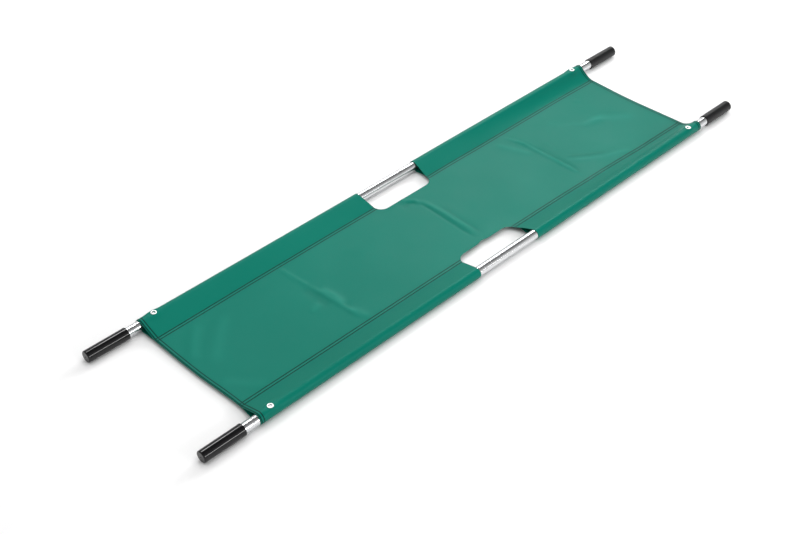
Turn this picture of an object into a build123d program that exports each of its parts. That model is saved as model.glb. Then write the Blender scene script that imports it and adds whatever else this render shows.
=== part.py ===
from build123d import *
from math import hypot, sqrt
import os

# Rescue stretcher: a sewn canvas carried on two aluminium poles.  Each pole is two
# halves on a ferrule, with a vinyl grip at each end and a spring button under an
# eyelet of the canvas.  Lengths are in millimetres.
# Frame: X runs from the head end (-) to the foot end (+), +Y is the left side, +Z is
# up, and the four grips stand on the ground at Z = 0.

# poles
overall_length = 2200.0
pole_spacing = 482.0
tube_od = 30.0
tube_wall = 1.5
joint_gap = 0.3

# dip-moulded grips
grip_length = 131.5
grip_wall = 2.5
grip_fit = 0.05
grip_end_wall = 3.0
grip_edge_radius = 3.5
grip_lip_radius = 1.0
mould_nib_diameter = 3.0
mould_nib_height = 0.8

# ferrules that join the two halves of each pole, fixed in the head halves
ferrule_length = 160.0
ferrule_wall = 1.6
ferrule_clearance = 0.08
ferrule_chamfer = 0.7
rivet_diameter = 4.0
rivet_head_diameter = 6.0
rivet_head_depth = 1.0
rivet_upset_diameter = 5.4
rivet_upset_height = 1.4
rivet_inset = 20.0
rivet_spacing = 40.0

# canvas
canvas_length = 1845.0
cloth = 0.7
panel_height = 8.0
sleeve_width = 59.5
seam_pitch = 9.0
seam_allowance = 6.5
hem_width = 20.0
hem_row_inset = 5.0
hem_row_pitch = 9.0
slack_under = 0.5
slack_outside = 1.2
slack_over = 2.1
keel_width = 10.0

# hand holds cut into both sides of the canvas at the middle
hand_hold_length = 236.0
hand_hold_depth = 87.0
hand_hold_radius = 23.0

# sewing thread
thread_width = 0.9
thread_height = 0.5
thread_margin = 2.0

# eyelets in the tops of the sleeves
eyelet_inset = 44.5
eyelet_play = 0.3
eyelet_flange_width = 3.4
eyelet_barrel_wall = 0.5
eyelet_rim_height = 0.8
eyelet_rim_radius = 0.35
eyelet_clearance = 0.1
washer_width = 2.4
washer_thickness = 0.3
flange_margin = 1.5
washer_margin = 0.2

# spring buttons that stand under the eyelets
button_diameter = 9.6
button_stand = 1.5
button_edge_radius = 1.2
button_clearance = 0.15
button_flange_width = 1.2
button_flange_height = 1.0
spring_width = 8.0
spring_thickness = 0.7
spring_length = 52.0
spring_tail = 6.0
spring_bend_radius = 3.0
spring_clearance = 0.15

# worked out from the sizes above
tube_radius = tube_od / 2
tube_bore_radius = tube_radius - tube_wall
grip_radius = tube_radius + grip_fit + grip_wall
pole_y = pole_spacing / 2
pole_z = grip_radius
tube_top = pole_z + tube_radius
tube_bottom = pole_z - tube_radius
half_length = overall_length / 2
grip_face = half_length - mould_nib_height
tube_end = grip_face - grip_end_wall
ferrule_radius = tube_bore_radius - ferrule_clearance
canvas_end = canvas_length / 2
hand_hold_half = hand_hold_length / 2
seam_reach = pole_y - sleeve_width
inner_row = seam_reach - seam_pitch
hand_hold_reach = pole_y - hand_hold_depth
seam_top = panel_height + cloth
sleeve_under = tube_bottom - slack_under - cloth
sleeve_outside = pole_y + tube_radius + slack_outside + cloth
sleeve_roof = tube_top + slack_over
roof_top = sleeve_roof + cloth
button_x = canvas_end - eyelet_inset
button_radius = button_diameter / 2
button_flange_radius = button_radius + button_flange_width
button_flange_top = pole_z + sqrt(tube_bore_radius**2 - button_flange_radius**2) - button_clearance
button_base = button_flange_top - button_flange_height
eyelet_bore_radius = button_radius + eyelet_play
barrel_radius = eyelet_bore_radius + eyelet_barrel_wall
flange_radius = eyelet_bore_radius + eyelet_flange_width
washer_radius = eyelet_bore_radius + washer_width
roof_width = 2 * (flange_radius + flange_margin)
shoulder_radius = tube_radius + slack_outside - washer_radius - washer_margin
keel_radius = tube_radius
ferrule_bore_radius = ferrule_radius - ferrule_wall
rivet_grip = tube_radius - sqrt(ferrule_bore_radius**2 - (rivet_upset_diameter / 2) ** 2)

SIDES = (("left", 1), ("right", -1))
ENDS = (("head", -1), ("foot", 1))

os.makedirs("parts", exist_ok=True)


def save(name, builder):
    """Label a finished piece and write it."""
    builder.part.label = name
    export_step(builder.part, f"parts/{name}.step")


def across_pole(side, end, start):
    """Plane square to a pole, centred on its axis and facing the end of the stretcher."""
    return Plane(origin=(end * start, side * pole_y, pole_z), x_dir=(0, 1, 0), z_dir=(end, 0, 0))


def level_at_button(side, end, height):
    """Level plane centred on a button."""
    return Plane(origin=(end * button_x, side * pole_y, height))


def draw_ring(outer, inner):
    """A ring between two radii."""
    Circle(outer)
    Circle(inner, mode=Mode.SUBTRACT)


def rivet_places(side):
    """Upright planes through the flush rivets of one pole, at the underside of its tube."""
    for place in range(2):
        x = -rivet_inset - place * rivet_spacing
        yield Plane(origin=(x, side * pole_y, tube_bottom), x_dir=(1, 0, 0), z_dir=(0, -1, 0))


def draw_rivet():
    """Half section of a rivet: countersunk head, shank and the end upset inside the ferrule."""
    head, shank, upset = rivet_head_diameter / 2, rivet_diameter / 2, rivet_upset_diameter / 2
    top = rivet_grip + rivet_upset_height
    with BuildLine() as outline:
        Polyline((0, 0), (head, 0), (shank, rivet_head_depth), (shank, rivet_grip), (upset, rivet_grip))
        Polyline((upset, rivet_grip), (shank, top), (0, top), (0, 0))
    make_face(outline.edges())


def cut_rivet_holes(side):
    """Countersunk holes up into the tube or ferrule being built."""
    head, shank = rivet_head_diameter / 2, rivet_diameter / 2
    for plane in rivet_places(side):
        with BuildSketch(plane) as section:
            with BuildLine():
                Polyline((0, 0), (head, 0), (shank, rivet_head_depth), (shank, tube_radius), (0, tube_radius))
                Line((0, tube_radius), (0, 0))
            make_face()
        revolve(section.sketch, axis=Axis(plane.origin, (0, 0, 1)), mode=Mode.SUBTRACT)


def draw_sleeve(side):
    """Section of the loop of cloth that a pole runs in, closed at the seam beside the panel."""
    crease = pole_y - roof_width / 2
    keel = pole_y - keel_width / 2
    roof_slope = (roof_top - seam_top) / (crease - seam_reach)
    keel_slope = (sleeve_under + cloth - panel_height) / (keel - seam_reach)
    roof_drop = cloth * hypot(1, roof_slope)
    keel_lift = cloth * hypot(1, keel_slope)
    throat = (roof_drop + keel_lift - 2 * cloth) / (roof_slope - keel_slope)
    outside = (
        (seam_reach, seam_top),
        (crease, roof_top),
        (sleeve_outside, roof_top),
        (sleeve_outside, sleeve_under),
        (keel, sleeve_under),
        (seam_reach, panel_height - cloth),
    )
    inside = (
        (seam_reach + throat, seam_top - roof_drop + roof_slope * throat),
        (crease + (roof_drop - cloth) / roof_slope, sleeve_roof),
        (sleeve_outside - cloth, sleeve_roof),
        (sleeve_outside - cloth, sleeve_under + cloth),
        (keel + (cloth - keel_lift) / keel_slope, sleeve_under + cloth),
    )
    with BuildLine() as skin:
        radii = (0, 0, shoulder_radius + cloth, keel_radius + cloth, 0, 0)
        FilletPolyline(*[(side * y, z) for y, z in outside], radius=radii, close=True)
    make_face(skin.edges())
    with BuildLine() as lining:
        radii = (0, 0, shoulder_radius, keel_radius, 0)
        FilletPolyline(*[(side * y, z) for y, z in inside], radius=radii, close=True)
    make_face(lining.edges(), mode=Mode.SUBTRACT)


# The canvas panel between the two seams, with its share of the hand holds.
with BuildPart() as panel:
    with BuildSketch(Plane.XY.offset(panel_height)):
        Rectangle(canvas_length, 2 * seam_reach)
        for _, side in SIDES:
            with BuildSketch(mode=Mode.SUBTRACT) as hand_hold:
                with Locations((0, side * pole_y)):
                    Rectangle(hand_hold_length, 2 * (pole_y - hand_hold_reach))
                fillet(hand_hold.vertices().sort_by(Axis.Y)[:: side][:2], hand_hold_radius)
    extrude(amount=cloth)
save("canvas_panel", panel)

# Folded hems under both ends of the panel.
for end_name, end in ENDS:
    with BuildPart() as hem:
        with BuildSketch(Plane.XY.offset(panel_height - cloth)):
            with Locations((end * (canvas_end - hem_width / 2), 0)):
                Rectangle(hem_width, 2 * (inner_row - seam_allowance))
        extrude(amount=cloth)
    save(f"end_hem_{end_name}", hem)

# The rows of thread that hold each hem.
for end_name, end in ENDS:
    with BuildPart() as thread:
        with BuildSketch(Plane.XY.offset(seam_top)):
            for row in range(2):
                with Locations((end * (canvas_end - hem_row_inset - row * hem_row_pitch), 0)):
                    Rectangle(thread_width, 2 * (seam_reach - thread_margin))
        extrude(amount=thread_height)
    save(f"hem_thread_{end_name}", thread)

# The twin rows of thread that close the sleeves, broken at the hand hold.
row_start = hand_hold_half + thread_margin
row_end = canvas_end - hem_row_inset - hem_row_pitch - thread_margin
for side_name, side in SIDES:
    with BuildPart() as thread:
        with BuildSketch(Plane.XY.offset(seam_top)):
            for end_name, end in ENDS:
                for row in range(2):
                    reach = seam_reach - thread_width - row * seam_pitch
                    with Locations((end * (row_start + row_end) / 2, side * reach)):
                        Rectangle(row_end - row_start, thread_width)
        extrude(amount=thread_height)
    save(f"seam_thread_{side_name}", thread)

for side_name, side in SIDES:
    for end_name, end in ENDS:
        corner = f"{side_name}_{end_name}"

        # Sleeve of the canvas, from the hand hold to the end.
        with BuildPart() as sleeve:
            with BuildSketch(Plane.YZ.offset(end * hand_hold_half)):
                draw_sleeve(side)
                allowance = seam_pitch + seam_allowance
                with Locations((side * (seam_reach - allowance / 2), panel_height - cloth / 2)):
                    Rectangle(allowance, cloth)
            extrude(amount=end * (canvas_end - hand_hold_half))
            with BuildSketch(level_at_button(side, end, sleeve_roof)):
                Circle(barrel_radius + eyelet_clearance)
            extrude(amount=cloth, mode=Mode.SUBTRACT)
        save(f"sleeve_{corner}", sleeve)

        # Eyelet: a rolled flange on the cloth and a barrel down through it.
        with BuildPart() as eyelet:
            with BuildSketch(level_at_button(side, end, roof_top)):
                draw_ring(flange_radius, eyelet_bore_radius)
            extrude(amount=eyelet_rim_height)
            fillet(eyelet.edges().group_by(Axis.Z)[-1], eyelet_rim_radius)
            with BuildSketch(level_at_button(side, end, sleeve_roof - washer_thickness)):
                draw_ring(barrel_radius, eyelet_bore_radius)
            extrude(amount=washer_thickness + cloth)
        save(f"eyelet_{corner}", eyelet)

        # Washer that the barrel is set over, under the cloth.
        with BuildPart() as washer:
            with BuildSketch(level_at_button(side, end, sleeve_roof - washer_thickness)):
                draw_ring(washer_radius, barrel_radius)
            extrude(amount=washer_thickness)
        save(f"eyelet_washer_{corner}", washer)

        # Half of a pole, with the hole that its button comes up through.
        with BuildPart() as tube:
            with BuildSketch(across_pole(side, end, joint_gap / 2)):
                draw_ring(tube_radius, tube_bore_radius)
            extrude(amount=tube_end - joint_gap / 2)
            with BuildSketch(level_at_button(side, end, pole_z)):
                Circle(button_radius + button_clearance)
            extrude(amount=tube_radius, mode=Mode.SUBTRACT)
            if end_name == "head":
                cut_rivet_holes(side)
        save(f"pole_tube_{corner}", tube)

        # Grip: a closed vinyl tube over the end of the pole, with the nib its mould leaves.
        with BuildPart() as grip:
            with BuildSketch(across_pole(side, end, half_length - grip_length)):
                Circle(grip_radius)
            extrude(amount=grip_length - mould_nib_height)
            outward = Axis((0, 0, 0), (end, 0, 0))
            fillet(grip.faces().sort_by(outward)[-1].edges(), grip_edge_radius)
            fillet(grip.faces().sort_by(outward)[0].edges(), grip_lip_radius)
            with BuildSketch(across_pole(side, end, half_length - grip_length)):
                Circle(tube_radius + grip_fit)
            extrude(amount=tube_end - half_length + grip_length, mode=Mode.SUBTRACT)
            with BuildSketch(across_pole(side, end, grip_face)):
                Circle(mould_nib_diameter / 2)
            extrude(amount=mould_nib_height)
        save(f"grip_{corner}", grip)

        # Spring button: a domed head on a flange that stays inside the tube.
        with BuildPart() as button:
            with BuildSketch(level_at_button(side, end, button_base)):
                Circle(button_flange_radius)
            extrude(amount=button_flange_height)
            with BuildSketch(level_at_button(side, end, button_flange_top)):
                Circle(button_radius)
            extrude(amount=tube_top + button_stand - button_flange_top)
            fillet(button.edges().group_by(Axis.Z)[-1], button_edge_radius)
        save(f"spring_button_{corner}", button)

        # Folded leaf spring under the button, lying in the bore of the tube.
        with BuildPart() as spring:
            with BuildSketch(Plane.XZ.offset(-side * pole_y)):
                upper = button_base - spring_clearance - spring_thickness / 2
                floor = pole_z - sqrt(tube_bore_radius**2 - (spring_width / 2) ** 2)
                lower = floor + spring_clearance + spring_thickness / 2
                with BuildLine():
                    FilletPolyline(
                        (end * (button_x + spring_tail), upper),
                        (end * (button_x - spring_length), (upper + lower) / 2),
                        (end * (button_x + spring_tail), lower),
                        radius=spring_bend_radius,
                    )
                trace(line_width=spring_thickness)
            extrude(amount=spring_width / 2, both=True)
        save(f"button_spring_{corner}", spring)

    # Ferrule of this pole, riveted in the head half and sliding in the foot half.
    with BuildPart() as ferrule:
        with BuildSketch(across_pole(side, 1, -ferrule_length / 2)):
            draw_ring(ferrule_radius, ferrule_bore_radius)
        extrude(amount=ferrule_length)
        for rim_end in (0, -1):
            rims = ferrule.faces().sort_by(Axis.X)[rim_end].edges()
            chamfer(rims.sort_by(SortBy.RADIUS)[-1], ferrule_chamfer)
        cut_rivet_holes(side)
    save(f"ferrule_{side_name}", ferrule)

    # Flush rivets through the tube and the ferrule, as one group.
    with BuildPart() as rivets:
        for plane in rivet_places(side):
            with BuildSketch(plane):
                draw_rivet()
            revolve(axis=Axis(plane.origin, (0, 0, 1)))
    save(f"ferrule_rivets_{side_name}", rivets)
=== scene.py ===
import bpy
import bmesh
import math
import numpy as np
from mathutils import Matrix, Vector


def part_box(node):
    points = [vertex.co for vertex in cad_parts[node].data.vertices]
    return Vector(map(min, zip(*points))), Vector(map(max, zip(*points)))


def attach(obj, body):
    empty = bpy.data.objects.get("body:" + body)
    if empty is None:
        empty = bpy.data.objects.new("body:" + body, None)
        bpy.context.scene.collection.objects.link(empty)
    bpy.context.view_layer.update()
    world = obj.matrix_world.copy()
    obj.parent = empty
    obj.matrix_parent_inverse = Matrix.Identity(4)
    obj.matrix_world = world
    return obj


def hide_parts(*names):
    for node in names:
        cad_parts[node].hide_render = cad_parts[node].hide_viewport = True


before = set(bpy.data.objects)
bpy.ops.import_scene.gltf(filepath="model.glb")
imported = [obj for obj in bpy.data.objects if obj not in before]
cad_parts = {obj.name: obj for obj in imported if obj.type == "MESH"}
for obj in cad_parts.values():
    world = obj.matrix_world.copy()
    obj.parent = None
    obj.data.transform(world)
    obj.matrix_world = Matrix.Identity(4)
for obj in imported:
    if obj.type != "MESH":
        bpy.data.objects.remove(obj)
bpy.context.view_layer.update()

MM = 0.001

# sewn rows: how far they lie inside the canvas ends and inside the seam lines
HEM_ROWS = (3.0 * MM, 11.0 * MM)
SEAM_ROWS = (0.45 * MM, 9.45 * MM)
SEAM_ROW_HALF_WIDTH = 2.4 * MM
HEM_ROW_HALF_WIDTH = 2.2 * MM
THREAD_SPACING = 1.05 * MM

# the cloth, and the lowest that its parts may lie over the floor
CLOTH = 0.7 * MM
LAYER_DROP = 1.15 * MM
LOWEST_CLOTH = 0.6 * MM
LOWEST_PANEL = 2.1 * MM
LOWEST_SEAM = 2.2 * MM

# where the frame and the cloth lie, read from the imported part
tube_low, tube_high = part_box("pole_tube_left_head")
pole_y = (tube_low.y + tube_high.y) / 2
pole_z = (tube_low.z + tube_high.z) / 2
tube_radius = (tube_high.z - tube_low.z) / 2
_, panel_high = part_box("canvas_panel")
canvas_end = panel_high.x
seam_reach = panel_high.y
eyelet_low, eyelet_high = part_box("eyelet_left_foot")
eyelet_x = (eyelet_low.x + eyelet_high.x) / 2
_, washer_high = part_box("eyelet_washer_left_foot")
roof_mid = washer_high.z + CLOTH / 2
SIDES = ((1, "left"), (-1, "right"))
ENDS = ((-1, "head"), (1, "foot"))


def nothing_selected():
    if bpy.context.object is not None and bpy.context.object.mode != "OBJECT":
        bpy.ops.object.mode_set(mode="OBJECT")
    bpy.ops.object.select_all(action="DESELECT")


def only(piece):
    nothing_selected()
    piece.select_set(True)
    bpy.context.view_layer.objects.active = piece


def settle(piece):
    """Leaves the piece's object at the origin, with its place in its mesh."""
    only(piece)
    bpy.ops.object.transform_apply(location=True, rotation=True, scale=True)


# ---------------------------------------------------------------- materials


def new_material(name):
    material = bpy.data.materials.new(name)
    material.use_nodes = True
    material.node_tree.nodes.clear()
    return material, material.node_tree


def add(tree, kind, at, **settings):
    node = tree.nodes.new(kind)
    node.location = at
    for key, value in settings.items():
        if key in node.inputs:
            node.inputs[key].default_value = value
        else:
            setattr(node, key, value)
    return node


def join(tree, *pairs):
    for source, target in pairs:
        tree.links.new(source, target)


def ramp_of(tree, at, stops):
    node = tree.nodes.new("ShaderNodeValToRGB")
    node.location = at
    band = node.color_ramp
    while len(band.elements) > 1:
        band.elements.remove(band.elements[-1])
    band.elements[0].position, band.elements[0].color = stops[0]
    for position, colour in stops[1:]:
        band.elements.new(position).color = colour
    return node


def grey(value):
    return (value, value, value, 1)


def math_node(tree, at, operation, *values, clamp=False):
    node = tree.nodes.new("ShaderNodeMath")
    node.operation = operation
    node.use_clamp = clamp
    node.location = at
    for place, value in enumerate(values):
        if isinstance(value, (int, float)):
            node.inputs[place].default_value = value
        else:
            tree.links.new(value, node.inputs[place])
    return node.outputs[0]


def group_of(name, inputs, outputs):
    """A node group with named sockets; gives its tree, input node and output node."""
    tree = bpy.data.node_groups.new(name, "ShaderNodeTree")
    for label, kind, value in inputs:
        socket = tree.interface.new_socket(name=label, in_out="INPUT", socket_type=kind)
        if value is not None:
            socket.default_value = value
    for label, kind in outputs:
        tree.interface.new_socket(name=label, in_out="OUTPUT", socket_type=kind)
    taken = tree.nodes.new("NodeGroupInput")
    taken.location = (-900, 0)
    given = tree.nodes.new("NodeGroupOutput")
    given.location = (700, 0)
    return tree, taken, given


def place_group(tree, group, at, **values):
    node = tree.nodes.new("ShaderNodeGroup")
    node.node_tree = group
    node.location = at
    for key, value in values.items():
        node.inputs[key.replace("_", " ")].default_value = value
    return node


def handling_marks_group():
    """Thin handling marks and dust: a mask from soft blotches broken up by fine specks."""
    tree, taken, given = group_of(
        "handling marks",
        [
            ("Vector", "NodeSocketVector", None),
            ("Blotch Scale", "NodeSocketFloat", 14.0),
            ("Speck Scale", "NodeSocketFloat", 220.0),
        ],
        [("Blotches", "NodeSocketFloat"), ("Specks", "NodeSocketFloat")],
    )
    blotch = add(tree, "ShaderNodeTexNoise", (-600, 150), Detail=4.0, Roughness=0.55)
    speck = add(tree, "ShaderNodeTexNoise", (-600, -150), Detail=2.0, Roughness=0.6)
    join(
        tree,
        (taken.outputs["Vector"], blotch.inputs["Vector"]),
        (taken.outputs["Blotch Scale"], blotch.inputs["Scale"]),
        (taken.outputs["Vector"], speck.inputs["Vector"]),
        (taken.outputs["Speck Scale"], speck.inputs["Scale"]),
    )
    soft = ramp_of(tree, (-350, 150), [(0.36, grey(0)), (0.66, grey(1))])
    fine = ramp_of(tree, (-350, -150), [(0.62, grey(0)), (0.74, grey(1))])
    join(
        tree,
        (blotch.outputs["Fac"], soft.inputs["Fac"]),
        (speck.outputs["Fac"], fine.inputs["Fac"]),
        (soft.outputs["Color"], given.inputs["Blotches"]),
        (fine.outputs["Color"], given.inputs["Specks"]),
    )
    return tree


def drawn_grain_group():
    """Fine lines left along a drawn or rolled metal part, and the sparse scratches over them."""
    tree, taken, given = group_of(
        "drawn grain",
        [("Vector", "NodeSocketVector", None)],
        [("Lines", "NodeSocketFloat"), ("Scratches", "NodeSocketFloat")],
    )
    along = add(tree, "ShaderNodeMapping", (-650, 150))
    along.inputs["Scale"].default_value = (6, 900, 900)
    across = add(tree, "ShaderNodeMapping", (-650, -200))
    across.inputs["Scale"].default_value = (40, 260, 260)
    across.inputs["Rotation"].default_value = (0, 0, 0.35)
    lines = add(tree, "ShaderNodeTexNoise", (-420, 150), Scale=1.0, Detail=3.0)
    marks = add(tree, "ShaderNodeTexNoise", (-420, -200), Scale=1.0, Detail=2.0)
    thin = ramp_of(tree, (-180, -200), [(0.66, grey(0)), (0.70, grey(1))])
    join(
        tree,
        (taken.outputs["Vector"], along.inputs["Vector"]),
        (taken.outputs["Vector"], across.inputs["Vector"]),
        (along.outputs["Vector"], lines.inputs["Vector"]),
        (across.outputs["Vector"], marks.inputs["Vector"]),
        (marks.outputs["Fac"], thin.inputs["Fac"]),
        (lines.outputs["Fac"], given.inputs["Lines"]),
        (thin.outputs["Color"], given.inputs["Scratches"]),
    )
    return tree


handling_marks = handling_marks_group()
drawn_grain = drawn_grain_group()


def canvas_material():
    """Coated canvas: a fine plain weave under a thin satin coating, paler along old folds from
    scuffs and painted sheen, with painted shade in their hollows and in the sewn rows.
    """
    material, tree = new_material("coated green canvas")
    out = add(tree, "ShaderNodeOutputMaterial", (1300, 0))
    body = add(tree, "ShaderNodeBsdfPrincipled", (1000, 0))
    body.inputs["Specular IOR Level"].default_value = 0.15
    body.inputs["Specular Tint"].default_value = (0.40, 1.0, 0.97, 1)
    flat = add(tree, "ShaderNodeUVMap", (-1300, 200), uv_map="flat cut")
    parts = add(tree, "ShaderNodeSeparateXYZ", (-1100, 200))
    join(
        tree,
        (flat.outputs["UV"], parts.inputs["Vector"]),
        (body.outputs["BSDF"], out.inputs["Surface"]),
    )
    along, across = parts.outputs["X"], parts.outputs["Y"]

    # plain weave: threads over and under in turn
    def wave(axis, at, turns):
        angle = math_node(tree, at, "MULTIPLY", axis, turns * math.pi / THREAD_SPACING)
        return math_node(tree, at, "SINE", angle)

    def threads(axis, other, at):
        return math_node(tree, at, "MULTIPLY", wave(axis, at, 2), wave(other, at, 1))

    warp, weft = threads(along, across, (-800, 600)), threads(across, along, (-800, 450))
    weave = math_node(tree, (-500, 500), "ADD", warp, weft)
    grain = add(tree, "ShaderNodeTexNoise", (-800, 150), Scale=900.0, Detail=3.0, Roughness=0.6)
    join(tree, (flat.outputs["UV"], grain.inputs["Vector"]))
    cloth_height = math_node(tree, (-300, 400), "MULTIPLY_ADD", weave, 0.25, grain.outputs["Fac"])

    # paler along the ridges of the folds from scuffs and painted sheen, painted shade in their
    # hollows, and marked by handling
    fold_scuff_light_mask = add(tree, "ShaderNodeAttribute", (-800, -300), attribute_name="fold_scuffs_sheen_shade")
    marks = place_group(
        tree, handling_marks, (-800, -500), Blotch_Scale=7.0, Speck_Scale=160.0
    )
    join(tree, (flat.outputs["UV"], marks.inputs["Vector"]))

    def rows(value, places, half_width):
        """1 on a sewn row and 0 away from it, for the rows at these distances."""
        found = None
        for place in places:
            off = math_node(tree, (-900, -800), "SUBTRACT", value, place)
            near = math_node(tree, (-900, -800), "ABSOLUTE", off)
            slope = -2.0 / half_width
            step = math_node(tree, (-700, -800), "MULTIPLY_ADD", near, slope, 2.0, clamp=True)
            found = step if found is None else math_node(tree, (-500, -800), "MAXIMUM", found, step)
        return found

    # the sewn rows pull the cloth down beside them
    from_middle = math_node(tree, (-1000, -800), "ABSOLUTE", across)
    from_centre = math_node(tree, (-1000, -950), "ABSOLUTE", along)
    side_rows = rows(from_middle, [seam_reach - inset for inset in SEAM_ROWS], SEAM_ROW_HALF_WIDTH)
    end_rows = rows(from_centre, [canvas_end - inset for inset in HEM_ROWS], HEM_ROW_HALF_WIDTH)
    sewn = math_node(tree, (-300, -850), "MAXIMUM", side_rows, end_rows)
    height = math_node(tree, (-100, 300), "MULTIPLY_ADD", sewn, -2.5, cloth_height)
    bump = add(tree, "ShaderNodeBump", (700, -300), Strength=0.35, Distance=0.12 * MM)
    join(tree, (height, bump.inputs["Height"]), (bump.outputs["Normal"], body.inputs["Normal"]))

    # colour: slight dye change over the length, ridges of the folds paler from scuffs and painted
    # sheen, painted shade in the hollows of the folds and in the rows
    dye = add(tree, "ShaderNodeTexNoise", (-500, 50), Scale=2.2, Detail=3.0, Roughness=0.5)
    join(tree, (flat.outputs["UV"], dye.inputs["Vector"]))
    base = ramp_of(
        tree, (-250, 80),
        [(0.3, (0.0004, 0.131, 0.092, 1)), (0.7, (0.0014, 0.145, 0.103, 1))],
    )
    join(tree, (dye.outputs["Fac"], base.inputs["Fac"]))
    # ridges of the folds painted paler: partly scuffs, partly painted sheen
    scuffs_and_painted_light = add(tree, "ShaderNodeMix", (100, 50), data_type="RGBA")
    scuffs_and_painted_light.inputs[7].default_value = (0.010, 0.190, 0.140, 1)
    scuff_and_sheen = math_node(tree, (-100, -250), "MULTIPLY", fold_scuff_light_mask.outputs["Fac"], 1.1, clamp=True)
    join(tree, (scuff_and_sheen, scuffs_and_painted_light.inputs[0]), (base.outputs["Color"], scuffs_and_painted_light.inputs[6]))
    # painted shade in the hollows of the folds
    painted_crease_shade = add(tree, "ShaderNodeMix", (250, 50), data_type="RGBA")
    painted_crease_shade.inputs[7].default_value = (0.0003, 0.100, 0.070, 1)
    crease_shade_amount = math_node(tree, (-100, -400), "MULTIPLY", fold_scuff_light_mask.outputs["Fac"], -1.0, clamp=True)
    join(tree, (crease_shade_amount, painted_crease_shade.inputs[0]), (scuffs_and_painted_light.outputs[2], painted_crease_shade.inputs[6]))
    # painted shade along the sewn rows, where the stitches pull the cloth down
    painted_row_shade = add(tree, "ShaderNodeMix", (400, 50), data_type="RGBA")
    painted_row_shade.inputs[7].default_value = (0.0005, 0.022, 0.017, 1)
    depth = math_node(tree, (100, -300), "MULTIPLY", sewn, 0.95)
    join(
        tree,
        (depth, painted_row_shade.inputs[0]),
        (painted_crease_shade.outputs[2], painted_row_shade.inputs[6]),
        (painted_row_shade.outputs[2], body.inputs["Base Color"]),
    )

    rough = math_node(tree, (400, -150), "MULTIPLY_ADD", marks.outputs["Blotches"], 0.05, 0.36)
    rough = math_node(tree, (550, -150), "MULTIPLY_ADD", grain.outputs["Fac"], 0.05, rough)
    join(tree, (rough, body.inputs["Roughness"]))
    return material


def thread_material():
    material, tree = new_material("dark green thread")
    out = add(tree, "ShaderNodeOutputMaterial", (600, 0))
    body = add(tree, "ShaderNodeBsdfPrincipled", (300, 0))
    body.inputs["Roughness"].default_value = 0.6
    body.inputs["Specular IOR Level"].default_value = 0.15
    place = add(tree, "ShaderNodeTexCoord", (-900, 0))
    twist = add(
        tree, "ShaderNodeTexWave", (-600, 0),
        Scale=1400.0, Distortion=1.5, bands_direction="DIAGONAL",
    )
    colour = ramp_of(
        tree, (-300, 0), [(0.0, (0.0008, 0.014, 0.010, 1)), (1.0, (0.0025, 0.036, 0.027, 1))]
    )
    bump = add(tree, "ShaderNodeBump", (0, -250), Strength=0.5, Distance=0.05 * MM)
    join(
        tree,
        (place.outputs["Object"], twist.inputs["Vector"]),
        (twist.outputs["Fac"], colour.inputs["Fac"]),
        (colour.outputs["Color"], body.inputs["Base Color"]),
        (twist.outputs["Fac"], bump.inputs["Height"]),
        (bump.outputs["Normal"], body.inputs["Normal"]),
        (body.outputs["BSDF"], out.inputs["Surface"]),
    )
    return material


def metal_material(name, colour, low, high, anisotropy, line_depth=0.02, metallic=1.0):
    """Bright metal with the drawn lines, sparse scratches and handling marks of use."""
    material, tree = new_material(name)
    out = add(tree, "ShaderNodeOutputMaterial", (900, 0))
    body = add(tree, "ShaderNodeBsdfPrincipled", (600, 0))
    body.inputs["Metallic"].default_value = metallic
    body.inputs["Anisotropic"].default_value = anisotropy
    place = add(tree, "ShaderNodeTexCoord", (-1100, 0))
    grain = place_group(tree, drawn_grain, (-850, 100))
    marks = place_group(tree, handling_marks, (-850, -200), Blotch_Scale=26.0, Speck_Scale=700.0)
    darker = tuple(c * 0.86 for c in colour[:3]) + (1,)
    tone = ramp_of(tree, (-450, 250), [(0.0, colour), (1.0, darker)])
    rough = ramp_of(tree, (-450, -50), [(0.3, grey(low)), (0.7, grey(high))])
    mixed = math_node(
        tree, (-200, -50), "MULTIPLY_ADD", marks.outputs["Blotches"], 0.05, rough.outputs["Color"]
    )
    mixed = math_node(tree, (0, -50), "MULTIPLY_ADD", grain.outputs["Scratches"], 0.05, mixed)
    dirt = math_node(tree, (-650, 250), "MULTIPLY", marks.outputs["Specks"], 0.6)
    height = math_node(tree, (0, -300), "MULTIPLY", grain.outputs["Scratches"], -1.0)
    bump = add(tree, "ShaderNodeBump", (250, -300), Strength=0.04, Distance=line_depth * MM)
    join(
        tree,
        (place.outputs["Object"], grain.inputs["Vector"]),
        (place.outputs["Object"], marks.inputs["Vector"]),
        (grain.outputs["Lines"], rough.inputs["Fac"]),
        (dirt, tone.inputs["Fac"]),
        (tone.outputs["Color"], body.inputs["Base Color"]),
        (mixed, body.inputs["Roughness"]),
        (height, bump.inputs["Height"]),
        (bump.outputs["Normal"], body.inputs["Normal"]),
        (body.outputs["BSDF"], out.inputs["Surface"]),
    )
    return material


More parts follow.
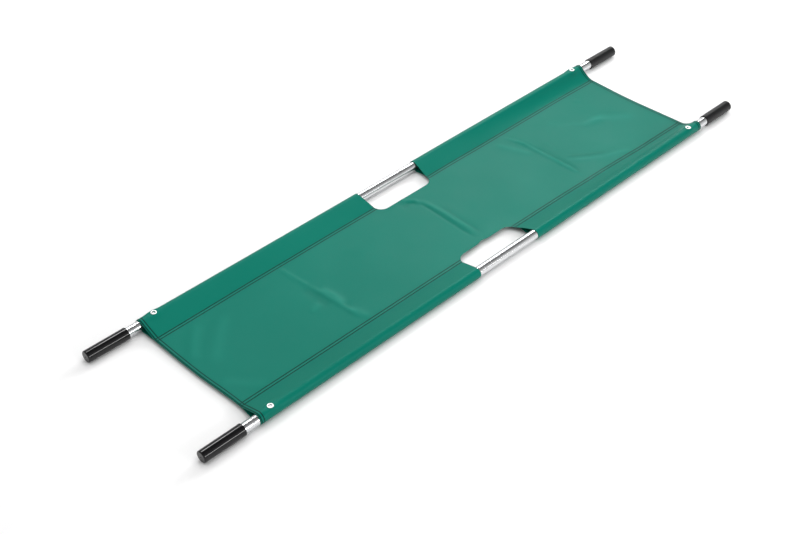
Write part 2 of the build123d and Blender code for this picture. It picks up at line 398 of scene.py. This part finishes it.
def grip_material():
    """Dip-moulded vinyl: glossy black with a faint orange peel, duller towards the foot end."""
    material, tree = new_material("black dipped vinyl")
    out = add(tree, "ShaderNodeOutputMaterial", (900, 0))
    body = add(tree, "ShaderNodeBsdfPrincipled", (600, 0))
    body.inputs["Specular IOR Level"].default_value = 0.35
    place = add(tree, "ShaderNodeTexCoord", (-1100, 0))
    marks = place_group(tree, handling_marks, (-850, -200), Blotch_Scale=30.0, Speck_Scale=900.0)
    peel = add(tree, "ShaderNodeTexNoise", (-850, 150), Scale=420.0, Detail=2.0)
    spots = add(tree, "ShaderNodeSeparateXYZ", (-850, -500))
    length = add(tree, "ShaderNodeMapRange", (-600, -500))
    length.inputs["From Min"].default_value = -0.9
    length.inputs["From Max"].default_value = 0.9
    length.inputs["To Min"].default_value = 0.075
    length.inputs["To Max"].default_value = 0.40
    tone = ramp_of(
        tree, (-450, 250), [(0.0, (0.0028, 0.0028, 0.0034, 1)), (1.0, (0.009, 0.009, 0.010, 1))]
    )
    mixed = math_node(
        tree, (-200, -150), "MULTIPLY_ADD", marks.outputs["Blotches"], 0.03, length.outputs[0]
    )
    bump = add(tree, "ShaderNodeBump", (250, -300), Strength=0.06, Distance=0.05 * MM)
    join(
        tree,
        (place.outputs["Object"], marks.inputs["Vector"]),
        (place.outputs["Object"], peel.inputs["Vector"]),
        (place.outputs["Object"], spots.inputs["Vector"]),
        (spots.outputs["X"], length.inputs["Value"]),
        (marks.outputs["Specks"], tone.inputs["Fac"]),
        (tone.outputs["Color"], body.inputs["Base Color"]),
        (mixed, body.inputs["Roughness"]),
        (peel.outputs["Fac"], bump.inputs["Height"]),
        (bump.outputs["Normal"], body.inputs["Normal"]),
        (body.outputs["BSDF"], out.inputs["Surface"]),
    )
    return material


FINISHES = {
    "tube": metal_material("drawn aluminium tube", (0.68, 0.69, 0.70, 1), 0.17, 0.21, 0.35),
    "ferrule": metal_material("plain aluminium ferrule", (0.72, 0.73, 0.74, 1), 0.26, 0.36, 0.2),
    "eyelet": metal_material(
        "nickel plated brass", (0.84, 0.84, 0.84, 1), 0.32, 0.40, 0.0, 0.005, 0.55
    ),
    "button": metal_material(
        "zinc plated steel button", (0.72, 0.72, 0.73, 1), 0.42, 0.52, 0.0, 0.005, 0.35
    ),
    "spring": metal_material("tempered spring steel", (0.33, 0.34, 0.36, 1), 0.28, 0.40, 0.2, 0.01),
    "rivet": metal_material("aluminium rivet", (0.80, 0.80, 0.81, 1), 0.24, 0.32, 0.0, 0.005),
    "grip": grip_material(),
    "canvas": canvas_material(),
    "thread": thread_material(),
}


def finish_cad_nodes():
    """Gives every carried-over part of the frame its finish."""
    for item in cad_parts:
        node = bpy.data.objects.get(item) if isinstance(item, str) else item
        for holder in node.material_slots:
            name = holder.material.name if holder.material else ""
            if name in FINISHES:
                holder.link = "OBJECT"
                holder.material = FINISHES[name]


# ---------------------------------------------------------------- canvas

# flat cut, from the middle outwards: panel, roof of the sleeve, round the tube, back under,
# seam allowance
roof_run = 64.0 * MM
round_run = 57.0 * MM
under_run = 66.0 * MM
allowance = 15.5 * MM
hem_bend = 0.5 * MM
HEM_TUCK = 0.2 * MM
SEAT_RADIUS = 7.4 * MM
SEAT_BLEND = 11 * MM
EYELET_HOLE_RADIUS = 5.8 * MM
first_edge = seam_reach
second_edge = first_edge + roof_run
third_edge = second_edge + round_run
fourth_edge = third_edge + under_run
last_edge = fourth_edge + allowance

# how the cloth lies along its length: place, half the spacing of the seams, height of the seams
stations = np.array([-0.9225, -0.70, -0.50, -0.25, 0.0, 0.25, 0.47, 0.70, 0.9225])
seam_half = np.array([174.0, 175.5, 176.5, 176.8, 177.0, 178.0, 180.0, 184.5, 186.0]) * MM
seam_height = np.array([12.0, 13.2, 14.0, 14.0, 13.8, 13.0, 11.0, 7.0, 3.0]) * MM


def smooth_table(x, places, values):
    """Piecewise curve through a table, with eased slopes."""
    x = np.clip(x, places[0], places[-1])
    slopes = np.gradient(values, places)
    k = np.clip(np.searchsorted(places, x) - 1, 0, len(places) - 2)
    width = places[k + 1] - places[k]
    t = (x - places[k]) / width
    return (
        (2 * t**3 - 3 * t**2 + 1) * values[k]
        + (t**3 - 2 * t**2 + t) * width * slopes[k]
        + (3 * t**2 - 2 * t**3) * values[k + 1]
        + (t**3 - t**2) * width * slopes[k + 1]
    )


def ease(t):
    t = np.clip(t, 0, 1)
    return t * t * (3 - 2 * t)


def along_line(x, y, line):
    """Signed distance to a line of points, and how far along it the nearest point is."""
    best = np.full(np.shape(x), 1e9)
    side = np.zeros(np.shape(x))
    share = np.zeros(np.shape(x))
    total = sum(math.dist(a, b) for a, b in zip(line, line[1:]))
    passed = 0.0
    for (ax, ay), (bx, by) in zip(line, line[1:]):
        run = math.dist((ax, ay), (bx, by))
        dx, dy = (bx - ax) / run, (by - ay) / run
        t = np.clip((x - ax) * dx + (y - ay) * dy, 0, run)
        gap = np.hypot(x - ax - t * dx, y - ay - t * dy)
        nearer = gap < best
        best = np.where(nearer, gap, best)
        side = np.where(nearer, np.sign((x - ax) * -dy + (y - ay) * dx), side)
        share = np.where(nearer, (passed + t) / total, share)
        passed += run
    return best * side, share


# creases left by storage and soft wrinkles: line in mm, height in mm, width in mm, how much paler
# the ridge is painted, from scuffs and painted sheen
FOLDS = [
    # across the head half
    ([(-503, 172), (-497, 100), (-490, 40)], 1.1, 6, 0.25),
    ([(-492, 60), (-486, 0), (-480, -70), (-474, -160)], 1.4, 7, 0.30),
    ([(-480, 25), (-468, -20), (-470, -78)], 1.5, 12, 0.55),
    ([(-478, -90), (-462, -130), (-458, -165)], 1.1, 12, 0.35),
    ([(-512, 60), (-505, 0), (-506, -60)], -0.9, 16, 0.0),
    # across the middle
    ([(-3, 125), (0, 60), (-2, 0), (-4, -80), (0, -146)], -1.2, 5, 0.10),
    ([(10, 120), (16, 40), (16, -40), (14, -120)], 1.5, 9, 0.40),
    ([(34, 60), (32, -10), (30, -90), (28, -140)], -0.7, 7, 0.10),
    ([(-44, 152), (-24, 138), (-4, 120), (4, 90)], 1.6, 7, 0.35),
    ([(-60, 118), (-30, 120), (-5, 108)], -1.1, 10, 0.0),
    # across the foot half
    ([(432, 172), (446, 130), (461, 90), (463, 20), (463, -60), (466, -160)], 2.2, 8, 0.50),
    ([(476, 60), (478, 0), (478, -90), (472, -150)], -1.6, 8, 0.0),
    ([(384, 156), (408, 100), (440, 28)], 1.6, 14, 0.40),
    ([(596, 128), (640, 70), (688, 28), (740, 22), (800, 20)], 2.2, 17, 0.45),
    ([(610, 110), (660, 44), (700, 6)], -1.3, 16, 0.0),
    ([(478, -50), (520, -84), (592, -132), (704, -172)], 2.2, 17, 0.45),
    ([(500, -40), (560, -90), (620, -122)], -1.2, 16, 0.0),
    ([(700, 60), (790, -10), (870, -60)], 1.8, 24, 0.40),
    ([(520, 60), (516, 20), (506, -10)], 0.8, 7, 0.1),
    ([(780, 150), (782, 120)], 0.9, 9, 0.1),
    ([(530, -185), (545, -200)], 1.0, 6, 0.1),
    # soft pulls at the head corners and below the hand holds
    ([(-905, 30), (-860, 90), (-800, 150)], 1.1, 18, 0.25),
    ([(-880, -20), (-800, 60), (-720, 130)], 0.9, 24, 0.25),
    ([(-905, -60), (-850, -130), (-810, -165)], 0.9, 20, 0.20),
    ([(-130, 140), (-220, 90), (-330, 60)], 0.6, 26, 0.0),
    ([(130, -130), (230, -70), (330, -40)], 0.6, 26, 0.0),
    ([(-560, -40), (-540, -30), (-515, -24)], 1.0, 14, 0.30),
]


def relief(x, y):
    """Height of the creases and wrinkles over the flat cloth, and how its colour is painted there:
    paler on ridges from scuffs and painted sheen, darker in hollows as painted shade.
    """
    lift = np.zeros(np.shape(x))
    scuffs_and_painted_light = np.zeros(np.shape(x))
    for line, height, width, scuff_and_sheen in FOLDS:
        points = [(a * MM, b * MM) for a, b in line]
        gap, share = along_line(x, y, points)
        fade = ease(share / 0.22) * ease((1 - share) / 0.22)
        bell = np.exp(-((gap / (width * MM)) ** 2))
        lift += 1.15 * height * MM * bell * fade
        # ridges painted paler from scuffs and painted sheen; hollows painted darker as painted
        # shade
        tone = scuff_and_sheen if height > 0 else -0.35
        scuffs_and_painted_light += tone * np.exp(-((gap / (width * 0.7 * MM)) ** 2)) * fade
    # slow hand-made unevenness, more of it towards the slack foot end
    slack = 0.35 + 0.65 * ease((x + 0.1) / 0.8)
    lift += 1.3 * slack * MM * (
        0.50 * np.sin(9.1 * x + 14.3 * y + 0.7) * np.sin(5.3 * x - 17.9 * y)
        + 0.32 * np.sin(23.0 * x - 31.0 * y + 1.9)
        + 0.22 * np.sin(-37.0 * x - 28.0 * y + 0.4) * np.sin(11.0 * x + 3.0 * y)
    )
    return lift, scuffs_and_painted_light


def end_shift(x, y):
    """How far the pull of the cloth moves it lengthways near its two ends."""
    foot = smooth_table(
        y, np.array([-0.26, -0.18, -0.10, -0.02, 0.06, 0.14, 0.22, 0.26]),
        np.array([6.0, 5.5, 2.5, -2.5, -4.5, -3.0, -2.0, -3.0]) * MM,
    )
    head = smooth_table(
        y, np.array([-0.26, -0.18, 0.0, 0.18, 0.26]),
        np.array([-0.5, 3.0, -4.5, -5.5, -4.0]) * MM,
    )
    return foot * ease((x - 0.66) / 0.2625) + head * ease((-x - 0.76) / 0.1625)


def loose_fit(x, side):
    """How loose the sleeve is round the pole: 0 hugs the tube, 1 stands off it."""
    far = smooth_table(x, stations, np.array([1.0, 0.72, 0.42, 0.30, 0.45, 0.95, 1.0, 1.0, 1.0]))
    near = smooth_table(x, stations, np.array([1.0, 0.50, 0.15, 0.08, 0.05, 0.08, 0.2, 0.62, 1.0]))
    at_end = ease((np.abs(x) - 0.78) / 0.07)
    share = np.clip(np.where(side > 0, far, near), 0, 1)
    return share + (1 - share) * at_end


def cubic(t, start, start_pull, end, end_pull):
    return (
        (2 * t**3 - 3 * t**2 + 1) * start
        + (t**3 - 2 * t**2 + t) * start_pull
        + (3 * t**2 - 2 * t**3) * end
        + (t**3 - t**2) * end_pull
    )


def lie(u, v):
    """Where the point (u, v) of the flat cut lies when sewn and fitted on the poles."""
    u, v = np.asarray(u, float), np.asarray(v, float)
    side = np.where(v < 0, -1.0, 1.0)
    a = np.abs(v)
    x = u
    half = smooth_table(x, stations, seam_half)
    height = smooth_table(x, stations, seam_height)
    loose = loose_fit(x, side)
    mouth = ease((np.abs(x) - canvas_end + 28 * MM) / (30 * MM))
    gap = tube_radius + (0.72 + 0.68 * loose + 0.25 * mouth) * MM
    axis_z = pole_z + loose * (roof_mid - pole_z - tube_radius - 1.4 * MM)
    slack = ease((x - 0.1) / 0.75)
    slack = slack * np.where(side < 0, 1.0, 0.75)

    panel_y = a / first_edge * half
    at_seam, _ = relief(x, side * half)
    seam_z = np.maximum(height + at_seam, LOWEST_SEAM)
    sag = (1.2 + 1.6 * ease((x + 0.2) / 0.9)) * MM

    def panel_height(y):
        lift, _ = relief(x, side * y)
        return np.maximum(height - sag * (1 - (y / half) ** 2) + lift, LOWEST_PANEL)

    panel_z = panel_height(panel_y)

    # leave the tube along the line to the seam, or wrap on further where the sleeve is slack
    dy, dz = half - pole_y, seam_z - axis_z
    reach = np.hypot(dy, dz)
    towards = np.arctan2(dy, dz)
    spread = np.arccos(np.clip(gap / reach, -1, 1))
    off_top = towards + spread - slack * math.radians(22)
    off_under = towards - spread + 2 * math.pi + slack * math.radians(5)
    top_y, top_z = pole_y + gap * np.sin(off_top), axis_z + gap * np.cos(off_top)
    low_y, low_z = pole_y + gap * np.sin(off_under), axis_z + gap * np.cos(off_under)

    t = np.clip((a - first_edge) / roof_run, 0, 1)
    chord = np.hypot(top_y - half, top_z - seam_z)
    level = slack * 0.9
    pull_y = (top_y - half) * (1 - level) + chord * level * 0.9
    pull_z = (top_z - seam_z) * (1 - level) + chord * level * 0.05
    roof_y = cubic(t, half, pull_y, top_y, chord * np.cos(off_top))
    roof_z = cubic(t, seam_z, pull_z, top_z, -chord * np.sin(off_top))

    turn = np.clip((a - second_edge) / round_run, 0, 1)
    angle = off_top + (off_under - off_top) * turn
    bend_y, bend_z = pole_y + gap * np.sin(angle), axis_z + gap * np.cos(angle)

    t = np.clip((a - third_edge) / under_run, 0, 1)
    chord = np.hypot(low_y - half, low_z - seam_z)
    layer = seam_z - LAYER_DROP
    under_y = cubic(t, low_y, chord * np.cos(off_under), half, half - low_y)
    under_z = cubic(t, low_z, -chord * np.sin(off_under), layer, (layer - low_z))
    inner_y = half - np.clip(a - fourth_edge, 0, None)
    inner_z = panel_height(inner_y) - LAYER_DROP

    runs = [a <= edge for edge in (first_edge, second_edge, third_edge, fourth_edge)]
    y = np.select(runs, [panel_y, roof_y, bend_y, under_y], inner_y)
    z = np.select(runs, [panel_z, roof_z, bend_z, under_z], inner_z)

    # flat seat under each eyelet
    away = np.hypot((np.abs(x) - eyelet_x) * 0.5, y - pole_y)
    seat = 1 - ease((away - SEAT_RADIUS) / SEAT_BLEND)
    z = np.where((a > first_edge) & (a < third_edge) & (z > pole_z), z + (roof_mid - z) * seat, z)
    z = np.maximum(z, LOWEST_CLOTH)
    return np.stack([x + end_shift(x, side * y), side * y, z], -1)


def up_from(u, v):
    """Outward direction of the cloth's face at (u, v)."""
    step = 0.6 * MM
    lengthways = lie(u + step, v) - lie(u - step, v)
    crossways = lie(u, v + step) - lie(u, v - step)
    normal = np.cross(lengthways, crossways)
    return normal / np.maximum(np.linalg.norm(normal, axis=-1, keepdims=True), 1e-12)


def folded(u, v):
    """As lie(), with the hems turned under at both ends."""
    u, v = np.asarray(u, float), np.asarray(v, float)
    past = np.abs(u) - canvas_end
    end = np.sign(u)
    turn = np.clip(past / hem_bend, 0, math.pi)
    back = np.clip(past - math.pi * hem_bend, 0, None)
    place = np.where(past > 0, end * (canvas_end - HEM_TUCK - back), u)
    base = lie(place, v)
    normal = up_from(place, v)
    drop = np.where(past > 0, hem_bend * (1 - np.cos(turn)), 0)
    out = np.where(past > 0, hem_bend * np.sin(turn), 0)
    moved = base - normal * drop[..., None]
    moved[..., 0] += end * out
    moved[..., 2] = np.maximum(moved[..., 2], LOWEST_CLOTH)
    return moved


def hold_gap(u, v):
    """Distance outside the hand hold's cut line on the flat cut: negative inside the hole."""
    a = np.abs(v)
    far = v > 0
    inner = np.where(far, 153.5, 158.0 - 5.0 * np.exp(-((u / (15 * MM)) ** 2))) * MM
    corner = 27 * MM
    lean = 0.10 * np.clip(a - inner, 0, 90 * MM)
    half = np.where(u > 0, np.where(far, 104, 110), np.where(far, 114, 109)) * MM + lean
    half = half + np.where(far | (u < 0), 0, 8 * MM * ease((a - inner) / (60 * MM)))
    dx = np.abs(u) - half + corner
    dy = inner + corner - a
    outside = np.hypot(np.clip(dx, 0, None), np.clip(dy, 0, None))
    return outside + np.minimum(np.maximum(dx, dy), 0) - corner


def find_crest(end, side):
    """Where the flat cut passes over the middle of the pole at one eyelet: a point (u, v)."""
    v = side * np.linspace(second_edge - 0.02, third_edge, 6000)
    points = lie(np.full_like(v, end * eyelet_x), v)
    over = np.abs(points[:, 1] - side * pole_y) + (points[:, 2] < pole_z)
    return end * eyelet_x, float(v[np.argmin(over)])


def eyelet_gap(u, v):
    """Distance outside the four eyelet holes on the flat cut."""
    return min(math.dist((u, v), crest) for crest in crests) - EYELET_HOLE_RADIUS


def spaced(start, end, step):
    count = max(1, round((end - start) / step))
    return list(np.linspace(start, end, count + 1)[:-1])


def grid_lines():
    """Where the lines of the flat cut's mesh lie, closer where the cloth bends more."""
    edge = canvas_end
    hem_lines = [edge + s * MM for s in (0.25, 0.6, 1.0, 1.35, 1.7, 5.5, 10, 15, 20)]
    before, after = eyelet_x - 13 * MM, eyelet_x + 13 * MM
    plus = (
        spaced(0, 0.04, 4.6 * MM) + spaced(0.04, 0.42, 8.2 * MM) + spaced(0.42, 0.50, 5 * MM)
        + spaced(0.50, before, 8.4 * MM) + spaced(before, after, 2.6 * MM)
        + spaced(after, edge, 5 * MM) + [edge]
    )
    u_lines = sorted([-x for x in plus[1:] + hem_lines] + plus + hem_lines)
    a_lines = (
        spaced(0, first_edge, 5.6 * MM) + spaced(first_edge, second_edge, 5.2 * MM)
        + spaced(second_edge, third_edge, 2.9 * MM) + spaced(third_edge, fourth_edge, 8 * MM)
        + spaced(fourth_edge, last_edge, 5.2 * MM) + [last_edge]
    )
    v_lines = sorted([-v for v in a_lines[1:]] + a_lines)
    return np.array(u_lines), np.array(v_lines)


def points_of(mesh):
    points = np.zeros(len(mesh.vertices) * 3)
    mesh.vertices.foreach_get("co", points)
    return points.reshape(-1, 3)


def flat_cloth():
    """The flat cut as one sheet of mesh, without its openings."""
    u_lines, v_lines = grid_lines()
    columns, rows = len(u_lines) - 1, len(v_lines) - 1
    nothing_selected()
    bpy.ops.mesh.primitive_grid_add(x_subdivisions=columns, y_subdivisions=rows, size=2)
    piece = bpy.context.object
    piece.name = piece.data.name = "canvas"
    flat = points_of(piece.data)
    i = np.rint((flat[:, 0] + 1) / 2 * columns).astype(int)
    j = np.rint((flat[:, 1] + 1) / 2 * rows).astype(int)
    flat = np.stack([u_lines[i], v_lines[j], np.zeros(len(flat))], -1)
    piece.data.vertices.foreach_set("co", flat.ravel())
    return piece


def cut_openings(mesh):
    """Cuts the hand holds and the eyelet holes from the flat cloth, and trims their edges."""
    work = bmesh.new()
    work.from_mesh(mesh)
    for gap in (hold_gap, eyelet_gap):
        gone = [f for f in work.faces if gap(*f.calc_center_median().xy) < 0]
        bmesh.ops.delete(work, geom=gone, context="FACES")
        rim = [p for p in work.verts if p.is_boundary and abs(gap(p.co.x, p.co.y)) < 7 * MM]
        for p in rim:
            for _ in range(4):
                x, y, step = p.co.x, p.co.y, 0.05 * MM
                here = gap(x, y)
                slope_u = (gap(x + step, y) - gap(x - step, y)) / (2 * step)
                slope_v = (gap(x, y + step) - gap(x, y - step)) / (2 * step)
                size = max(slope_u**2 + slope_v**2, 1e-9)
                p.co.x -= float(here * slope_u / size)
                p.co.y -= float(here * slope_v / size)
    work.to_mesh(mesh)
    work.free()
    mesh.update()


def build_canvas():
    piece = flat_cloth()
    mesh = piece.data
    cut_openings(mesh)
    flat = points_of(mesh)
    layer = mesh.uv_layers[0] if mesh.uv_layers else mesh.uv_layers.new()
    layer.name = "flat cut"
    corner = np.zeros(len(mesh.loops), int)
    mesh.loops.foreach_get("vertex_index", corner)
    layer.data.foreach_set("uv", flat[corner, :2].astype(np.float32).ravel())

    placed = folded(flat[:, 0], flat[:, 1])
    # painted paleness (scuffs and painted sheen) and painted shade of the folds, kept to the panel
    # and the roof of the sleeves
    _, scuffs_and_painted_light = relief(placed[:, 0], placed[:, 1])
    scuffs_and_painted_light = np.where(np.abs(flat[:, 1]) <= second_edge, scuffs_and_painted_light, 0)
    mark = mesh.attributes.new("fold_scuffs_sheen_shade", "FLOAT", "POINT")
    mark.data.foreach_set("value", np.clip(scuffs_and_painted_light, -1, 1).astype(np.float32))
    mesh.vertices.foreach_set("co", placed.astype(np.float32).ravel())
    mesh.update()

    only(piece)
    wall = piece.modifiers.new("cloth", "SOLIDIFY")
    wall.thickness = CLOTH
    wall.offset = 0
    wall.use_rim = True
    bpy.ops.object.modifier_apply(modifier=wall.name)
    bpy.ops.object.shade_smooth_by_angle(angle=math.radians(50))
    piece.data.materials.clear()
    piece.data.materials.append(FINISHES["canvas"])
    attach(piece, "canvas")
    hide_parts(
        "canvas_panel", "end_hem_head", "end_hem_foot",
        "sleeve_left_head", "sleeve_left_foot", "sleeve_right_head", "sleeve_right_foot",
    )


# ---------------------------------------------------------------- stitches


STITCH_LENGTH = 3.2 * MM
STITCH_RADIUS = 0.36 * MM
STITCH_DIP = 0.42 * MM
STITCH_RISE = 0.12 * MM
PITCH = 4.2 * MM
HOLD_HALF_LENGTH = 0.119
SEAM_END_MARGIN = 1.5 * MM


def stitch_shape():
    """One stitch along X: a round thread that dips into the cloth at both ends."""
    nothing_selected()
    bpy.ops.mesh.primitive_cylinder_add(
        vertices=6, radius=STITCH_RADIUS, depth=STITCH_LENGTH, end_fill_type="NGON",
        rotation=(0, math.pi / 2, 0),
    )
    piece = bpy.context.object
    settle(piece)
    bpy.ops.object.mode_set(mode="EDIT")
    bpy.ops.mesh.select_all(action="DESELECT")
    bpy.ops.mesh.select_mode(type="EDGE")
    bpy.ops.object.mode_set(mode="OBJECT")
    for edge in piece.data.edges:
        a, b = (piece.data.vertices[k].co for k in edge.vertices)
        edge.select = abs(a.x - b.x) > 1 * MM
    bpy.ops.object.mode_set(mode="EDIT")
    bpy.ops.mesh.subdivide(number_cuts=2)
    bpy.ops.object.mode_set(mode="OBJECT")
    for point in piece.data.vertices:
        reach = abs(point.co.x) / (STITCH_LENGTH / 2)
        thin = 1.0 - 0.45 * reach**3
        point.co.y *= thin
        point.co.z = point.co.z * thin - STITCH_DIP * reach**2.2
    corners = np.array([p.co for p in piece.data.vertices])
    faces = [list(f.vertices) for f in piece.data.polygons]
    bpy.data.objects.remove(piece, do_unlink=True)
    return corners, faces


STITCH = stitch_shape()


def sew(name, runs, replaced):
    """Stitches along rows of the flat cut. A run is (start, end), two points (u, v) of the cut."""
    corners, faces = STITCH
    starts, ends = [], []
    for start, end in runs:
        length = math.dist(start, end)
        count = int(length // PITCH)
        for k in range(count):
            for found, share in ((starts, (k + 0.12) / count), (ends, (k + 0.88) / count)):
                found.append([p + (q - p) * share for p, q in zip(start, end)])
    starts, ends = np.array(starts), np.array(ends)
    middle = (starts + ends) / 2
    a, b = lie(starts[:, 0], starts[:, 1]), lie(ends[:, 0], ends[:, 1])
    centre = lie(middle[:, 0], middle[:, 1])
    normal = up_from(middle[:, 0], middle[:, 1])
    ahead = b - a
    ahead /= np.linalg.norm(ahead, axis=1, keepdims=True)
    beside = np.cross(normal, ahead)
    beside /= np.linalg.norm(beside, axis=1, keepdims=True)
    normal = np.cross(ahead, beside)
    centre = centre + normal * (CLOTH / 2 + STITCH_RISE)
    points = (
        centre[:, None, :]
        + ahead[:, None, :] * corners[None, :, 0:1]
        + beside[:, None, :] * corners[None, :, 1:2]
        + normal[:, None, :] * corners[None, :, 2:3]
    ).reshape(-1, 3)
    made = []
    for k in range(len(centre)):
        made += [[i + k * len(corners) for i in face] for face in faces]
    mesh = bpy.data.meshes.new(name)
    mesh.from_pydata(points.tolist(), [], made)
    piece = bpy.data.objects.new(name, mesh)
    bpy.context.scene.collection.objects.link(piece)
    only(piece)
    bpy.ops.object.shade_smooth()
    mesh.materials.append(FINISHES["thread"])
    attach(piece, "canvas")
    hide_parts(*replaced)


def sew_all():
    seam_end = canvas_end - SEAM_END_MARGIN
    for side, name in SIDES:
        runs = []
        for inset in SEAM_ROWS:
            v = side * (first_edge - inset)
            for start, stop in ((-seam_end, -HOLD_HALF_LENGTH), (HOLD_HALF_LENGTH, seam_end)):
                runs.append(((start, v), (stop, v)))
        sew(f"seam_stitches_{name}", runs, [f"seam_thread_{name}"])
    reach = fourth_edge - 4 * MM
    for end, name in ENDS:
        runs = []
        for inset in HEM_ROWS:
            u = end * (canvas_end - inset)
            runs.append(((u, -reach), (u, reach)))
        sew(f"hem_stitches_{name}", runs, [f"hem_thread_{name}"])


# ---------------------------------------------------------------- studio


def set_camera():
    lens = bpy.data.cameras.new("camera")
    lens.sensor_width = 36
    lens.lens = 59.328
    lens.clip_start, lens.clip_end = 0.05, 60
    camera = bpy.data.objects.new("camera", lens)
    bpy.context.scene.collection.objects.link(camera)
    turn = Matrix.Rotation(-0.7872, 4, "Z")
    turn = turn @ Matrix.Rotation(0.8665, 4, "X") @ Matrix.Rotation(0.0098, 4, "Z")
    camera.matrix_world = Matrix.Translation((-2.2651, -2.0740, 2.4267)) @ turn
    bpy.context.scene.camera = camera


def soft_light(name, place, aim, width, height, power, mirrored=True):
    light = bpy.data.lights.new(name, "AREA")
    light.shape = "RECTANGLE"
    light.size, light.size_y = width, height
    light.energy = power
    lamp = bpy.data.objects.new(name, light)
    bpy.context.scene.collection.objects.link(lamp)
    lamp.location = place
    lamp.visible_glossy = mirrored
    lamp.rotation_mode = "QUATERNION"
    lamp.rotation_quaternion = (Vector(aim) - Vector(place)).to_track_quat("-Z", "Y")


def set_floor():
    nothing_selected()
    bpy.ops.mesh.primitive_plane_add(size=30)
    floor = bpy.context.object
    floor.name = "studio_floor"
    material, tree = new_material("white studio floor")
    out = add(tree, "ShaderNodeOutputMaterial", (600, 0))
    paint = add(tree, "ShaderNodeBsdfDiffuse", (0, 0))
    paint.inputs["Color"].default_value = (0.82, 0.82, 0.82, 1)
    # the floor stays white where it runs out of the lamps' reach
    glow = add(tree, "ShaderNodeEmission", (0, -200))
    both = add(tree, "ShaderNodeAddShader", (300, 0))
    place = add(tree, "ShaderNodeTexCoord", (-800, -200))
    away = add(tree, "ShaderNodeVectorMath", (-600, -200), operation="LENGTH")
    reach = add(tree, "ShaderNodeMapRange", (-300, -200))
    reach.inputs["From Min"].default_value = 1.6
    reach.inputs["From Max"].default_value = 5.0
    join(
        tree,
        (place.outputs["Object"], away.inputs[0]),
        (away.outputs["Value"], reach.inputs["Value"]),
        (reach.outputs["Result"], glow.inputs["Strength"]),
        (paint.outputs["BSDF"], both.inputs[0]),
        (glow.outputs["Emission"], both.inputs[1]),
        (both.outputs["Shader"], out.inputs["Surface"]),
    )
    floor.data.materials.append(material)


def set_world():
    world = bpy.data.worlds.new("studio")
    world.use_nodes = True
    bpy.context.scene.world = world
    tree = world.node_tree
    tree.nodes.clear()
    out = add(tree, "ShaderNodeOutputWorld", (600, 0))
    seen = add(tree, "ShaderNodeBackground", (100, 150))
    seen.inputs["Color"].default_value = (1, 1, 1, 1)
    seen.inputs["Strength"].default_value = 1.05
    room = add(tree, "ShaderNodeBackground", (100, -100))
    room.inputs["Strength"].default_value = 1.0
    ray = add(tree, "ShaderNodeLightPath", (-200, 400))
    choice = add(tree, "ShaderNodeMixShader", (350, 0))
    place = add(tree, "ShaderNodeTexCoord", (-1100, -100))
    parts = add(tree, "ShaderNodeSeparateXYZ", (-900, -100))
    # pale walls low down on both sides and a dark ceiling between them
    level, up = parts.outputs["Y"], parts.outputs["Z"]
    spread = math_node(tree, (-700, 0), "MULTIPLY", level, level)
    spread = math_node(tree, (-600, 0), "MULTIPLY_ADD", up, up, spread)
    spread = math_node(tree, (-550, 0), "SQRT", spread)
    lean = math_node(tree, (-500, 0), "DIVIDE", level, spread)
    lean = math_node(tree, (-400, 0), "MULTIPLY_ADD", lean, 0.5, 0.5, clamp=True)
    walls = ramp_of(
        tree, (-250, 0),
        [
            (0.0, grey(0.80)), (0.03, grey(0.85)), (0.117, grey(0.60)), (0.25, grey(0.36)),
            (0.40, grey(0.20)), (0.55, grey(0.14)), (0.63, grey(0.34)), (0.75, grey(0.50)),
            (0.953, grey(0.70)), (1.0, grey(0.85)),
        ],
    )
    join(
        tree,
        (place.outputs["Generated"], parts.inputs["Vector"]),
        (lean, walls.inputs["Fac"]),
        (walls.outputs["Color"], room.inputs["Color"]),
        (ray.outputs["Is Camera Ray"], choice.inputs[0]),
        (room.outputs["Background"], choice.inputs[1]),
        (seen.outputs["Background"], choice.inputs[2]),
        (choice.outputs["Shader"], out.inputs["Surface"]),
    )


def set_lights():
    """Large fills that only light the scene, and smaller softboxes that glossy parts mirror."""
    soft_light("overhead fill", (-0.45, -0.1, 3.4), (-0.3, 0, 0), 4.5, 3.0, 78, mirrored=False)
    soft_light("foot side fill", (6.5, 0.8, 2.2), (0, 0, 0), 2.5, 2.0, 290, mirrored=False)
    soft_light("back softbox", (0.37, 1.98, 3.0), (-1.0, 0, 0), 0.58, 0.60, 17.5)
    soft_light("foot softbox", (3.4, 2.3, 3.0), (0.2, 0, 0), 2.8, 1.0, 72)
    soft_light("front softbox", (0.5, -3.0, 1.2), (0.0, 0, 0.02), 2.2, 0.3, 36)
    view = bpy.context.scene.view_settings
    view.view_transform = "Standard"
    view.look = "None"
    view.exposure = 0
    view.gamma = 1


set_camera()
crests = [find_crest(end, side) for end, _ in ENDS for side, _ in SIDES]
finish_cad_nodes()
build_canvas()
sew_all()
set_floor()
set_world()
set_lights()
